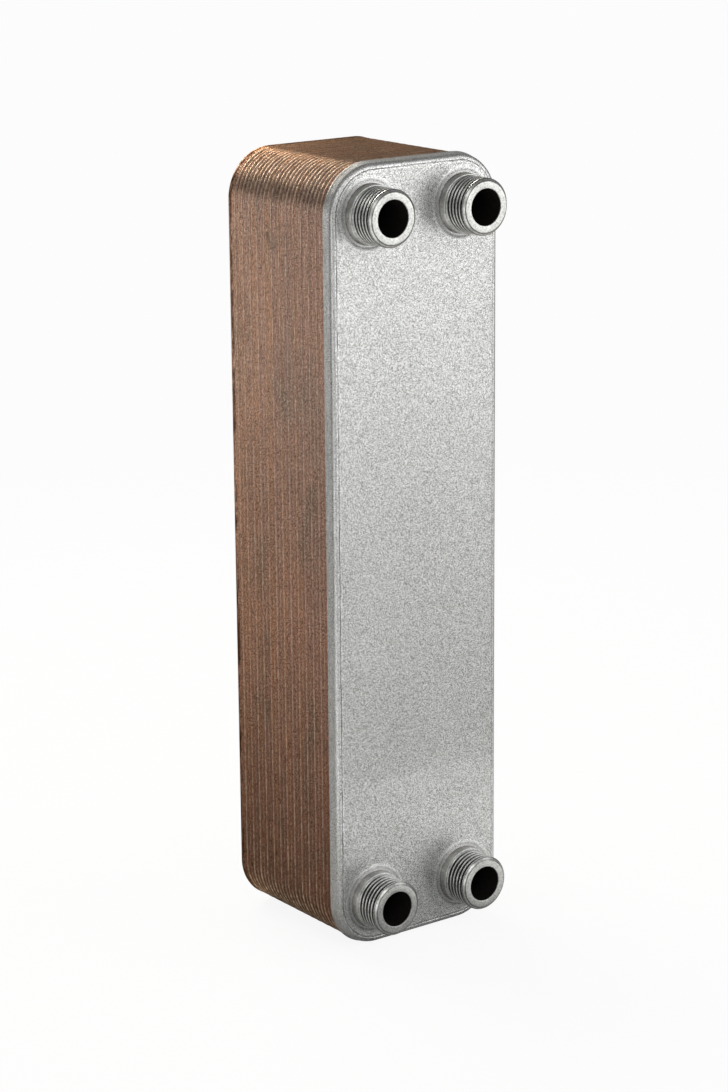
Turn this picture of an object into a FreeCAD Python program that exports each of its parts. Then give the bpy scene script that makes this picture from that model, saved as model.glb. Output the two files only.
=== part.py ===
import FreeCAD, Part
import math
import os
import Sketcher

# Copper-brazed plate heat exchanger, standing on its short end.
# X runs across the width, +Y from the ports towards the back, +Z up.
# The origin is the middle of the overall box in X and Y, at its lowest point in Z.
# Every body is drawn about its own middle height, with its front plane at local Y = 0.

Vector = FreeCAD.Vector

# Driving dimensions, in millimetres and degrees.
DIMENSIONS = {
    "overall_width": 77,
    "overall_height": 297,
    "corner_radius": 19,
    "skirt_angle": 11,
    "joint_gap": 0.05,
    # covers and sealing plates
    "cover_sheet": 1.2,
    "cover_skirt": 4.6,
    "cover_bend": 2.0,
    "back_skirt": 5.45,
    "sealing_sheet": 1.0,
    "sealing_inset": 0.7,
    "boss_radius": 12.3,
    "boss_rise": 0.35,
    "boss_edge": 0.2,
    # channel plates
    "plate_count": 24,
    "plate_pitch": 2.3,
    "plate_sheet": 0.4,
    "plate_skirt": 5.2,
    "plate_port_radius": 9.5,
    "cup_radius": 12.5,
    "field_half_width": 29,
    "field_half_height": 112,
    "ridge_count": 24,
    "ridge_angle": 30,
    "ridge_flat": 1.2,
    # ports and connectors with a G 1/2 external thread
    "port_spacing_across": 42,
    "port_spacing_up": 260,
    "bore_radius": 6.7,
    "bore_chamfer": 0.4,
    "spigot_radius": 9.0,
    "spigot_clearance": 0.05,
    "collar_radius": 10.9,
    "collar_end": 3.6,
    "collar_chamfer": 0.3,
    "thread_radius": 10.4775,
    "thread_pitch": 1.814,
    "thread_depth": 1.162,
    "thread_flank": 27.5,
    "thread_turns": 5,
    "tip_radius": 9.4,
    "tip_chamfer": 1.0,
    "stub_length": 14.2,
    "braze_ring_sheet": 0.1,
    # braze seam behind each skirt edge
    "seam_height": 0.28,
    "seam_length": 0.55,
    "seam_feather": 0.04,
}

# Derived sizes, as expressions over the driving dimensions.
FLARE = "tan(Dims.skirt_angle)"
CORNER_ACROSS = "(Dims.overall_width / 2 - Dims.corner_radius)"
CORNER_UP = "(Dims.overall_height / 2 - Dims.corner_radius)"
COVER_WALL = "(Dims.cover_sheet / cos(Dims.skirt_angle))"
PLATE_WALL = "(Dims.plate_sheet / cos(Dims.skirt_angle))"
NEST_GAP = f"(Dims.plate_pitch * {FLARE} - {PLATE_WALL})"

# Distances behind the front face.
FRONT_SEALING_DEPTH = "(Dims.cover_sheet + Dims.joint_gap)"
FIRST_PLATE_DEPTH = "(Dims.cover_sheet + Dims.sealing_sheet + 2 * Dims.joint_gap)"
BACK_SEALING_DEPTH = f"({FIRST_PLATE_DEPTH} + Dims.plate_count * Dims.plate_pitch)"
BACK_COVER_DEPTH = f"({BACK_SEALING_DEPTH} + Dims.sealing_sheet + Dims.joint_gap)"
TOTAL_DEPTH = f"({BACK_COVER_DEPTH} + Dims.back_skirt)"
FRONT_FACE_Y = f"((Dims.stub_length - {TOTAL_DEPTH}) / 2)"

# Corner radii of the trays at their front planes. All share the same corner centres.
COVER_CORNER = f"(Dims.corner_radius - Dims.cover_skirt * {FLARE})"
PLATE_CORNER = f"({COVER_CORNER} + {FIRST_PLATE_DEPTH} * {FLARE} - {COVER_WALL} - {NEST_GAP})"
BACK_COVER_CORNER = (
    f"({PLATE_CORNER} + (Dims.plate_pitch + Dims.sealing_sheet + Dims.joint_gap) * {FLARE}"
    f" - {PLATE_WALL} - {NEST_GAP})"
)

# Corrugated field of a channel plate.
PRESSED_DEPTH = "(Dims.plate_pitch - Dims.joint_gap)"
RIDGE_DROP = "(Dims.field_half_width * tan(Dims.ridge_angle))"
RIDGE_PITCH = f"((2 * Dims.field_half_height - {RIDGE_DROP}) / Dims.ridge_count)"
RING_HEIGHT = f"({PRESSED_DEPTH} - Dims.plate_sheet)"
BACK_RING_DEPTH = f"({BACK_SEALING_DEPTH} - Dims.joint_gap - {RING_HEIGHT})"
FIELD_TOP = "Dims.field_half_height"
FIELD_BOTTOM = f"({RIDGE_DROP} - Dims.field_half_height)"

PORTS = {
    "top_left": (-1, 1),
    "top_right": (1, 1),
    "bottom_left": (-1, -1),
    "bottom_right": (1, -1),
}
PORT_ACROSS = "Dims.port_spacing_across / 2"
PORT_UP = "Dims.port_spacing_up / 2"
LEFT_PORTS = ("top_left", "bottom_left")

# An edge within this distance of a plane lies on it.
FLATNESS = 1e-3


def make_sheet(doc):
    """The spreadsheet of driving dimensions, one alias to a row."""
    sheet = doc.addObject("Spreadsheet::Sheet", "Dims")
    for row, (alias, number) in enumerate(DIMENSIONS.items(), start=1):
        sheet.set(f"A{row}", alias)
        sheet.set(f"B{row}", str(number))
        sheet.setAlias(f"B{row}", alias)
    doc.recompute()
    return sheet


def number(doc, alias):
    """One driving dimension, read from the spreadsheet."""
    return doc.Dims.get(alias)


def place(sub_part, across="0", depth="0", up="Dims.overall_height / 2"):
    """Bind the placement of a sub-part: across the width, behind the front face, and up."""
    sub_part.setExpression("Placement.Base.x", across)
    sub_part.setExpression("Placement.Base.y", f"{FRONT_FACE_Y} + {depth}")
    sub_part.setExpression("Placement.Base.z", up)


def new_body(doc, label, **where):
    body = doc.addObject("PartDesign::Body", label)
    body.Label = label
    place(body, **where)
    return body


def new_sketch(body, name, role="XZ_Plane", depth=None):
    """A sketch on one of the body's origin planes, moved back by depth when it is given."""
    sketch = body.newObject("Sketcher::SketchObject", f"{body.Name}_{name}")
    plane = [item for item in body.Origin.OriginFeatures if item.Role == role][0]
    sketch.AttachmentSupport = [(plane, "")]
    sketch.MapMode = "FlatFace"
    if depth is not None:
        # the normal of the XZ plane points forward, along -Y
        sketch.setExpression("AttachmentOffset.Base.z", f"-{depth}")
    return sketch


def bind(sketch, constraint, name, expression):
    index = sketch.addConstraint(constraint)
    sketch.renameConstraint(index, name)
    sketch.setExpression(f"Constraints.{name}", expression)


def fix_point(sketch, item, point, name, across, up):
    """Bind one point to its distances from the sketch's origin. Zero lies on an axis."""
    if across == "0":
        sketch.addConstraint(Sketcher.Constraint("PointOnObject", item, point, -2))
    else:
        bind(sketch, Sketcher.Constraint("DistanceX", -1, 1, item, point, 1.0), f"{name}_x", across)
    if up == "0":
        sketch.addConstraint(Sketcher.Constraint("PointOnObject", item, point, -1))
    else:
        bind(sketch, Sketcher.Constraint("DistanceY", -1, 1, item, point, 1.0), f"{name}_y", up)


def draw_outline(sketch, radius):
    """The rounded rectangle of the trays, with this corner radius about the shared centres."""
    start_radius = number(sketch.Document, "corner_radius")
    right = number(sketch.Document, "overall_width") / 2 - start_radius
    top = number(sketch.Document, "overall_height") / 2 - start_radius
    quarter = math.pi / 2
    for turn, (side_x, side_z) in enumerate(((1, 1), (-1, 1), (-1, -1), (1, -1))):
        circle = Part.Circle(Vector(side_x * right, side_z * top, 0), Vector(0, 0, 1), start_radius)
        sketch.addGeometry(Part.ArcOfCircle(circle, turn * quarter, (turn + 1) * quarter))
    for turn in range(4):
        start = sketch.Geometry[turn].EndPoint
        end = sketch.Geometry[(turn + 1) % 4].StartPoint
        sketch.addGeometry(Part.LineSegment(start, end))
    for turn in range(4):
        line = 4 + turn
        sketch.addConstraint(Sketcher.Constraint("Tangent", turn, 2, line, 1))
        sketch.addConstraint(Sketcher.Constraint("Tangent", line, 2, (turn + 1) % 4, 1))
        flat = "Horizontal" if turn % 2 == 0 else "Vertical"
        sketch.addConstraint(Sketcher.Constraint(flat, line))
    for turn in range(1, 4):
        sketch.addConstraint(Sketcher.Constraint("Equal", 0, turn))
    bind(sketch, Sketcher.Constraint("Radius", 0, start_radius), "corner", radius)
    fix_point(sketch, 0, 3, "centre", CORNER_ACROSS, CORNER_UP)
    sketch.addConstraint(Sketcher.Constraint("Symmetric", 0, 3, 2, 3, -1, 1))


def draw_polygon(sketch, corners):
    """A closed polygon through corners, each a pair of expressions, solved from a regular polygon."""
    count = len(corners)
    step = 2 * math.pi / count
    start = [Vector(math.cos(i * step), math.sin(i * step), 0) for i in range(count)]
    first = sketch.GeometryCount
    for i in range(count):
        sketch.addGeometry(Part.LineSegment(start[i], start[(i + 1) % count]))
    for i in range(count):
        sketch.addConstraint(Sketcher.Constraint("Coincident", first + i, 2, first + (i + 1) % count, 1))
    for i, (across, up) in enumerate(corners):
        fix_point(sketch, first + i, 1, f"corner_{first + i}", across, up)


def draw_circle(sketch, radius, across="0", up="0"):
    item = sketch.addGeometry(Part.Circle(Vector(1, 1, 0), Vector(0, 0, 1), 1))
    bind(sketch, Sketcher.Constraint("Radius", item, 1.0), f"radius_{item}", radius)
    fix_point(sketch, item, 3, f"centre_{item}", across, up)


def draw_port_circles(sketch, radius, ports):
    for name in ports:
        side_x, side_z = PORTS[name]
        draw_circle(sketch, radius, f"{side_x} * {PORT_ACROSS}", f"{side_z} * {PORT_UP}")


def add_pad(body, sketch, length, taper=None, forward=False):
    """Pad a sketch towards the back, or forward, with an outward taper where it is given."""
    pad = body.newObject("PartDesign::Pad", f"{sketch.Name}_pad")
    pad.Profile = sketch
    pad.Reversed = not forward
    pad.setExpression("Length", length)
    if taper:
        pad.setExpression("TaperAngle", taper)
    body.Document.recompute()
    return pad


def add_pocket(body, sketch, length=None, taper=None):
    """Pocket a sketch towards the back, through everything when no length is given."""
    before = body.Shape.Volume
    pocket = body.newObject("PartDesign::Pocket", f"{sketch.Name}_pocket")
    pocket.Profile = sketch
    if length is None:
        pocket.Type = "ThroughAll"
    else:
        pocket.setExpression("Length", length)
    if taper:
        pocket.setExpression("TaperAngle", taper)
    body.Document.recompute()
    if body.Shape.Volume >= before:
        raise RuntimeError(f"{pocket.Name} cuts nothing")
    return pocket


def add_fillet(body, depth, radius):
    """Round the edges that lie flat at this local depth."""
    base = body.Tip
    names = []
    for index, edge in enumerate(base.Shape.Edges, start=1):
        box = edge.BoundBox
        if box.YLength < FLATNESS and abs(box.YMin - depth) < FLATNESS:
            names.append(f"Edge{index}")
    fillet = body.newObject("PartDesign::Fillet", f"{base.Name}_fillet")
    fillet.Base = (base, names)
    fillet.setExpression("Radius", radius)
    body.Document.recompute()
    return fillet


def add_tray(body, corner, skirt, sheet, wall):
    """A flat sheet with a skirt that flares out towards the back."""
    outside = new_sketch(body, "outside")
    draw_outline(outside, corner)
    add_pad(body, outside, skirt, taper="Dims.skirt_angle")
    inside = new_sketch(body, "inside", depth=sheet)
    draw_outline(inside, f"{corner} + {sheet} * {FLARE} - {wall}")
    add_pocket(body, inside, skirt, taper="Dims.skirt_angle")


def make_front_cover(doc):
    """The front cover: a drawn tray with a rounded bend and a low boss and a hole at each port."""
    body = new_body(doc, "front_cover_plate")
    add_tray(body, COVER_CORNER, "Dims.cover_skirt", "Dims.cover_sheet", COVER_WALL)
    add_fillet(body, 0, "Dims.cover_bend")
    add_fillet(body, number(doc, "cover_sheet"), "Dims.cover_bend - Dims.cover_sheet")
    bosses = new_sketch(body, "bosses")
    draw_port_circles(bosses, "Dims.boss_radius", PORTS)
    add_pad(body, bosses, "Dims.boss_rise", forward=True)
    add_fillet(body, -number(doc, "boss_rise"), "Dims.boss_edge")
    holes = new_sketch(body, "holes", depth="(-Dims.boss_rise)")
    draw_port_circles(holes, "Dims.spigot_radius + Dims.spigot_clearance", PORTS)
    add_pocket(body, holes)
    return body


def make_back_cover(doc):
    """The back cover: a blank tray, its skirt the rearmost edge of the stack."""
    body = new_body(doc, "back_cover_plate", depth=BACK_COVER_DEPTH)
    add_tray(body, BACK_COVER_CORNER, "Dims.back_skirt", "Dims.cover_sheet", COVER_WALL)
    return body


def make_front_sealing_plate(doc):
    """A flat stiffening plate behind the front cover, clear of the cover's inner bend."""
    body = new_body(doc, "front_sealing_plate", depth=FRONT_SEALING_DEPTH)
    outline = new_sketch(body, "outline")
    inset = f"{COVER_WALL} + Dims.sealing_inset"
    draw_outline(outline, f"{COVER_CORNER} + {FRONT_SEALING_DEPTH} * {FLARE} - ({inset})")
    draw_port_circles(outline, "Dims.spigot_radius + Dims.spigot_clearance", PORTS)
    add_pad(body, outline, "Dims.sealing_sheet")
    return body


def make_back_sealing_plate(doc):
    """A flat blank plate behind the last channel plate. It closes the inner ends of the ports."""
    body = new_body(doc, "back_sealing_plate", depth=BACK_SEALING_DEPTH)
    outline = new_sketch(body, "outline")
    draw_outline(outline, PLATE_CORNER)
    add_pad(body, outline, "Dims.sealing_sheet")
    return body


def make_port_rings(doc, label, depth):
    """Two spacer rings that close the dead space around the left ports at one end of the pack."""
    body = new_body(doc, label, depth=depth)
    rings = new_sketch(body, "rings")
    draw_port_circles(rings, "Dims.plate_port_radius", LEFT_PORTS)
    draw_port_circles(rings, "Dims.cup_radius - 2 * Dims.plate_sheet", LEFT_PORTS)
    add_pad(body, rings, RING_HEIGHT)
    return body


def add_field(body):
    """The herringbone field: pressed ridges that run down and outward from the middle line."""
    half = "Dims.field_half_width"
    window = new_sketch(body, "window")
    draw_polygon(
        window,
        [
            ("0", FIELD_TOP),
            (f"-{half}", f"{FIELD_TOP} - {RIDGE_DROP}"),
            (f"-{half}", f"{FIELD_BOTTOM} - {RIDGE_DROP}"),
            ("0", FIELD_BOTTOM),
            (half, f"{FIELD_BOTTOM} - {RIDGE_DROP}"),
            (half, f"{FIELD_TOP} - {RIDGE_DROP}"),
        ],
    )
    add_pocket(body, window, "Dims.plate_sheet")

    crest = "Dims.ridge_flat"
    slope = f"(({RIDGE_PITCH} - 2 * {crest}) / 2)"
    bottom = f"({PRESSED_DEPTH} - Dims.plate_sheet)"
    levels = [
        ("0", "0"),
        ("0", f"{crest} / 2"),
        (bottom, f"{crest} / 2 + {slope}"),
        (bottom, f"{crest} * 3 / 2 + {slope}"),
        ("0", f"{crest} * 3 / 2 + 2 * {slope}"),
        ("0", RIDGE_PITCH),
    ]
    front = [(depth, f"{FIELD_BOTTOM} + {rise}") for depth, rise in levels]
    back = [(f"{depth} + Dims.plate_sheet", f"{FIELD_BOTTOM} + {rise}") for depth, rise in levels]
    ridge = new_sketch(body, "ridge", role="YZ_Plane")
    draw_polygon(ridge, front + back[::-1])
    ridge_pad = add_pad(body, ridge, half, forward=True)
    ridge_pad.UseCustomVector = True
    ridge_pad.AlongSketchNormal = True
    ridge_pad.setExpression("Direction.x", "cos(Dims.ridge_angle)")
    ridge_pad.setExpression("Direction.y", "0")
    ridge_pad.setExpression("Direction.z", "-sin(Dims.ridge_angle)")
    body.Document.recompute()

    up_axis = [item for item in body.Origin.OriginFeatures if item.Role == "Z_Axis"][0]
    middle_plane = [item for item in body.Origin.OriginFeatures if item.Role == "YZ_Plane"][0]
    ridges = body.newObject("PartDesign::MultiTransform", f"{body.Name}_ridges")
    ridges.Originals = [ridge_pad]
    along = body.newObject("PartDesign::LinearPattern", f"{body.Name}_ridges_along")
    along.Direction = (up_axis, [""])
    along.setExpression("Length", f"{RIDGE_PITCH} * (Dims.ridge_count - 1)")
    along.setExpression("Occurrences", "Dims.ridge_count")
    mirrored = body.newObject("PartDesign::Mirrored", f"{body.Name}_ridges_mirrored")
    mirrored.MirrorPlane = (middle_plane, [""])
    ridges.Transformations = [along, mirrored]
    body.Tip = ridges
    body.Document.recompute()

    walls = new_sketch(body, "walls")
    for side in (-1, 1):
        inner = f"{side} * ({half} - Dims.plate_sheet)"
        outer = f"{side} * {half}"
        low = f"{FIELD_BOTTOM} - {RIDGE_DROP}"
        high = f"{FIELD_TOP} - {RIDGE_DROP}"
        draw_polygon(walls, [(inner, low), (outer, low), (outer, high), (inner, high)])
    add_pad(body, walls, PRESSED_DEPTH)


def make_channel_plate(doc, label):
    """A channel plate with its two left ports pressed back to meet the plate behind."""
    body = new_body(doc, label, depth=FIRST_PLATE_DEPTH)
    add_tray(body, PLATE_CORNER, "Dims.plate_skirt", "Dims.plate_sheet", PLATE_WALL)
    add_field(body)
    cups = new_sketch(body, "cups")
    draw_port_circles(cups, "Dims.cup_radius", LEFT_PORTS)
    add_pad(body, cups, PRESSED_DEPTH)
    hollows = new_sketch(body, "hollows")
    draw_port_circles(hollows, "Dims.cup_radius - Dims.plate_sheet", LEFT_PORTS)
    add_pocket(body, hollows, f"{PRESSED_DEPTH} - Dims.plate_sheet")
    ports = new_sketch(body, "ports")
    draw_port_circles(ports, "Dims.plate_port_radius", PORTS)
    add_pocket(body, ports)
    return body


def repeat_channel_plate(doc, master, place_in_pack):
    """The same pressing again further back, turned end for end at each even place in the pack."""
    label = f"channel_plate_{place_in_pack:02d}"
    body = new_body(doc, label, depth=f"{FIRST_PLATE_DEPTH} + {place_in_pack - 1} * Dims.plate_pitch")
    copy = body.newObject("PartDesign::FeatureBase", f"{label}_pressing")
    copy.BaseFeature = master
    if place_in_pack % 2 == 0:
        body.Placement.Rotation = FreeCAD.Rotation(Vector(0, 1, 0), 180)
    return body


def connector_profile(turns):
    """Radius and depth of each corner of a connector, from the inner end of its bore."""
    face = "-Dims.stub_length"
    shoulder = "-(Dims.boss_rise + Dims.braze_ring_sheet)"
    inner_end = f"({FRONT_SEALING_DEPTH} + Dims.sealing_sheet)"
    crest = "Dims.thread_radius"
    root = "(Dims.thread_radius - Dims.thread_depth)"
    half_land = "(Dims.thread_pitch / 12)"
    half_groove = f"({half_land} + Dims.thread_depth * tan(Dims.thread_flank))"
    corners = [
        ("Dims.bore_radius", inner_end),
        ("Dims.spigot_radius", inner_end),
        ("Dims.spigot_radius", shoulder),
        ("Dims.collar_radius", shoulder),
        ("Dims.collar_radius", "-(Dims.collar_end - Dims.collar_chamfer)"),
        (crest, "-Dims.collar_end"),
    ]
    for turn in range(turns):
        middle = f"(Dims.collar_end + ({turn} + 0.5) * Dims.thread_pitch)"
        corners += [
            (crest, f"-({middle} - {half_groove})"),
            (root, f"-({middle} - {half_land})"),
            (root, f"-({middle} + {half_land})"),
            (crest, f"-({middle} + {half_groove})"),
        ]
    corners += [
        (crest, "-(Dims.stub_length - Dims.tip_chamfer)"),
        ("Dims.tip_radius", face),
        ("(Dims.bore_radius + Dims.bore_chamfer)", face),
        ("Dims.bore_radius", "-(Dims.stub_length - Dims.bore_chamfer)"),
    ]
    return corners


def revolve(body, corners):
    """Turn a profile of radius and depth about the body's Y axis."""
    profile = new_sketch(body, "profile", role="XY_Plane")
    draw_polygon(profile, corners)
    turned = body.newObject("PartDesign::Revolution", f"{body.Name}_turned")
    turned.Profile = profile
    turned.ReferenceAxis = (profile, ["V_Axis"])
    turned.Angle = 360
    body.Document.recompute()
    return body


def port_place(name):
    side_x, side_z = PORTS[name]
    return {
        "across": f"{side_x} * {PORT_ACROSS}",
        "up": f"Dims.overall_height / 2 + {side_z} * {PORT_UP}",
    }


def make_connector(doc, name):
    body = new_body(doc, f"port_connector_{name}", **port_place(name))
    return revolve(body, connector_profile(int(number(doc, "thread_turns"))))


def make_braze_ring(doc, name):
    """The braze washer under a connector's collar."""
    body = new_body(doc, f"port_braze_ring_{name}", **port_place(name))
    inner = "Dims.spigot_radius + Dims.spigot_clearance"
    front = "-(Dims.boss_rise + Dims.braze_ring_sheet)"
    back = "-Dims.boss_rise"
    corners = [(inner, front), ("Dims.collar_radius", front), ("Dims.collar_radius", back), (inner, back)]
    return revolve(body, corners)


def make_seam(doc, label, edge_depth, covered_depth):
    """One braze seam behind a skirt's edge, on the channel plate's skirt that comes out from under it."""
    body = new_body(doc, label, depth=edge_depth)
    body.AllowCompound = True
    corner = f"{PLATE_CORNER} + {covered_depth} * {FLARE}"
    slope = f"atan((Dims.seam_height - Dims.seam_feather) / Dims.seam_length - {FLARE})"
    outside = new_sketch(body, "outside")
    draw_outline(outside, f"{corner} + Dims.seam_height")
    add_pad(body, outside, "Dims.seam_length", taper=f"-{slope}")
    inside = new_sketch(body, "inside")
    draw_outline(inside, corner)
    add_pocket(body, inside, "Dims.seam_length", taper="Dims.skirt_angle")
    return body


def make_front_seam(doc):
    """The braze seam behind the front cover's skirt."""
    covered = f"(Dims.cover_skirt - {FIRST_PLATE_DEPTH})"
    return make_seam(doc, "front_braze_seam", "Dims.cover_skirt", covered)


def make_plate_seams(doc):
    """The braze seams behind the skirts of all the channel plates, one ring to a plate."""
    edge_depth = f"{FIRST_PLATE_DEPTH} + Dims.plate_skirt"
    body = make_seam(doc, "skirt_braze_seams", edge_depth, "(Dims.plate_skirt - Dims.plate_pitch)")
    depth_axis = [item for item in body.Origin.OriginFeatures if item.Role == "Y_Axis"][0]
    rings = body.newObject("PartDesign::LinearPattern", "skirt_braze_rings")
    solid_types = ("PartDesign::Pad", "PartDesign::Pocket")
    rings.Originals = [item for item in body.Group if item.TypeId in solid_types]
    rings.Direction = (depth_axis, [""])
    rings.setExpression("Length", "Dims.plate_pitch * (Dims.plate_count - 1)")
    rings.setExpression("Occurrences", "Dims.plate_count")
    body.Tip = rings
    doc.recompute()
    return body


def export(sub_parts):
    """Check every sub-part and write its shape to parts/LABEL.step."""
    os.makedirs("parts", exist_ok=True)
    for sub_part in sub_parts:
        if sub_part.Shape.isNull() or not sub_part.Shape.isValid():
            raise RuntimeError(f"{sub_part.Label} has no valid shape")
    for sub_part in sub_parts:
        sub_part.Shape.exportStep(f"parts/{sub_part.Label}.step")
        print(f"{sub_part.Label}: {sub_part.Shape.Volume:.0f} mm3, {len(sub_part.Shape.Solids)} solids")


def main():
    doc = FreeCAD.newDocument("plate_heat_exchanger")
    make_sheet(doc)
    sub_parts = [
        make_front_cover(doc),
        make_front_sealing_plate(doc),
        make_port_rings(doc, "front_port_rings", FIRST_PLATE_DEPTH),
    ]
    master = make_channel_plate(doc, "channel_plate_01")
    sub_parts.append(master)
    for place_in_pack in range(2, int(number(doc, "plate_count")) + 1):
        sub_parts.append(repeat_channel_plate(doc, master, place_in_pack))
    sub_parts += [
        make_port_rings(doc, "back_port_rings", BACK_RING_DEPTH),
        make_back_sealing_plate(doc),
        make_back_cover(doc),
        make_front_seam(doc),
        make_plate_seams(doc),
    ]
    for name in PORTS:
        sub_parts.append(make_connector(doc, name))
        sub_parts.append(make_braze_ring(doc, name))
    doc.recompute()
    failed = [item.Name for item in doc.Objects if "Invalid" in item.State or "Error" in item.State]
    if failed:
        raise RuntimeError(f"these objects failed: {failed}")
    export(sub_parts)


main()
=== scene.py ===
import math

import bmesh
import bpy
from mathutils import Matrix, Vector, geometry, noise


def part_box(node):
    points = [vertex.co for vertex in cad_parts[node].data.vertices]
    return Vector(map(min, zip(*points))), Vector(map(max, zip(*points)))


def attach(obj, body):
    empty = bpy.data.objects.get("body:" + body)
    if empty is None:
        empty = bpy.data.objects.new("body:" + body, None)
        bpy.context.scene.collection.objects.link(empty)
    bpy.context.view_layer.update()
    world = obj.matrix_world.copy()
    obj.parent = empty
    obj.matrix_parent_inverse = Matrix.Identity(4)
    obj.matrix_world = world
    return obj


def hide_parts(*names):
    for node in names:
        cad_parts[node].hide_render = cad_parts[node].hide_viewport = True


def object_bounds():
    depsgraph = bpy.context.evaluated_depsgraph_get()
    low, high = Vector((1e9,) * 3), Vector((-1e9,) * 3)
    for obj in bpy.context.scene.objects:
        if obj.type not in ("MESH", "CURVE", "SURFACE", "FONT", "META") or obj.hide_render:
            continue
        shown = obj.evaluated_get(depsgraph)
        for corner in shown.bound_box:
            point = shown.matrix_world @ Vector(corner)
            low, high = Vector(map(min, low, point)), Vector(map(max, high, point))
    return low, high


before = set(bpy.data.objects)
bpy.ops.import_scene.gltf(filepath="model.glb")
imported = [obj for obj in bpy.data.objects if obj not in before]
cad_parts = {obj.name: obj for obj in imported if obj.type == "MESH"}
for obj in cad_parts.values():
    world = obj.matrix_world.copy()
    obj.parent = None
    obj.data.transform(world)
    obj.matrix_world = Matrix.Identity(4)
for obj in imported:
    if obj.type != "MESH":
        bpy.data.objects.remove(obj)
cad_low, cad_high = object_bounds()

# The stamped sheets, in metres and radians.
LIP_CORNER_RADIUS = 0.019
FLARE = math.radians(11)
COVER_WALL = 0.0012
COVER_BEND = 0.0020
TRAY_BEND = 0.0012
LIP_ROUNDING = 0.0004
FILM = 0.00003

# The ports' bosses on the front cover.
BOSS_RADIUS = 0.0123
BOSS_HOLE = 0.00905
BOSS_HEIGHT = 0.00035
BOSS_FOOT = BOSS_RADIUS + 0.0017

# The connectors and their thread.
BORE_RADIUS = 0.0067
COLLAR_RADIUS = 0.0109
COLLAR_HEIGHT = 0.0036
CREST_RADIUS = 0.0104775
TIP_RADIUS = 0.0094
TIP_CHAMFER = 0.0010
THREAD_TURNS = 5.2
THREAD_START_ANGLE = 0.55
THREAD_PITCH = 0.001814
THREAD_DEPTH = 0.001162
RUN_IN = 0.30 * THREAD_PITCH
RUN_OUT = 0.45 * THREAD_PITCH

# How finely the meshes are cut.
COVER_SPACING = 0.0030
COVER_CORNER_STEPS = 20
SKIRT_SPACING = 0.0014
SKIRT_CORNER_STEPS = 26
BOSS_COLUMNS = 96
CONNECTOR_COLUMNS = 120
SHEET_GRID = 0.00291
SHEET_CLEARANCE = 0.0018

# The flat sheets: how far from an edge they become wavy, and how their triangles are made.
SHEET_EASE = 0.008
SHEET_WELD = 1e-7
HOLE_SLACK = 0.00007
INSIDE_OUTLINE = 1

PORTS = ("top_left", "top_right", "bottom_left", "bottom_right")

front_lip_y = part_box("front_cover_plate")[1].y
back_low, back_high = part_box("back_cover_plate")
boss_top_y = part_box("port_braze_ring_top_left")[1].y
face_y = boss_top_y + BOSS_HEIGHT
corner_across = cad_high.x - LIP_CORNER_RADIUS
corner_up = (cad_high.z - cad_low.z) / 2 - LIP_CORNER_RADIUS
middle_z = (cad_high.z + cad_low.z) / 2
plates = sorted(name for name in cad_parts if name.startswith("channel_plate_"))


# ---------------------------------------------------------------- mesh work

def stations(spacing, corner_steps):
    """Centre and outward direction of each point round the outline, from the bottom right corner."""
    found = []
    corners = ((1, -1), (1, 1), (-1, 1), (-1, -1))
    for index, (side_x, side_z) in enumerate(corners):
        centre = Vector((side_x * corner_across, middle_z + side_z * corner_up))
        next_x, next_z = corners[(index + 1) % 4]
        run = Vector((next_x * corner_across, middle_z + next_z * corner_up)) - centre
        start = (index - 1) * math.pi / 2
        for step in range(corner_steps):
            angle = start + step / corner_steps * math.pi / 2
            found.append((centre.x, centre.y, math.cos(angle), math.sin(angle)))
        count = math.ceil(run.length / spacing)
        angle = start + math.pi / 2
        for step in range(count):
            point = centre + run * step / count
            found.append((point.x, point.y, math.cos(angle), math.sin(angle)))
    return found


def ring_faces(rows, columns):
    """Quads between closed rings of points, facing outward when the rings run backward."""
    return [
        (i * columns + j, (i + 1) * columns + j,
         (i + 1) * columns + (j + 1) % columns, i * columns + (j + 1) % columns)
        for i in range(rows - 1) for j in range(columns)
    ]


def sweep(profile, around):
    """Points and faces of a profile of (corner radius, y) carried round the outline."""
    points = [(cx + r * nx, y, cz + r * nz) for r, y in profile for cx, cz, nx, nz in around]
    return points, ring_faces(len(profile), len(around))


def revolve(profile, columns):
    """Points and faces of a profile of (radius, y) turned about the Y axis."""
    angles = [2 * math.pi * j / columns for j in range(columns)]
    points = [(r * math.cos(a), y, r * math.sin(a)) for r, y in profile for a in angles]
    return points, ring_faces(len(profile), columns)


def arc(centre_r, centre_y, radius, start, end, steps):
    """Profile points along an arc, its angles measured from outward toward the back."""
    return [
        (centre_r + radius * math.cos(start + (end - start) * i / steps),
         centre_y + radius * math.sin(start + (end - start) * i / steps))
        for i in range(steps + 1)
    ]


def repeated(values, columns):
    """Each row's value once for every column."""
    return [value for value in values for _ in range(columns)]


def skirt_radius(lip_radius, lip_y, y):
    """Corner radius of a flared skirt at y, from that at its lip."""
    return lip_radius - (lip_y - y) * math.tan(FLARE)


def ripple(x, z, size, seed):
    """Smooth unevenness from -1 to 1, with bumps about size across."""
    return noise.noise(Vector((x / size, seed, z / size)))


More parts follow.
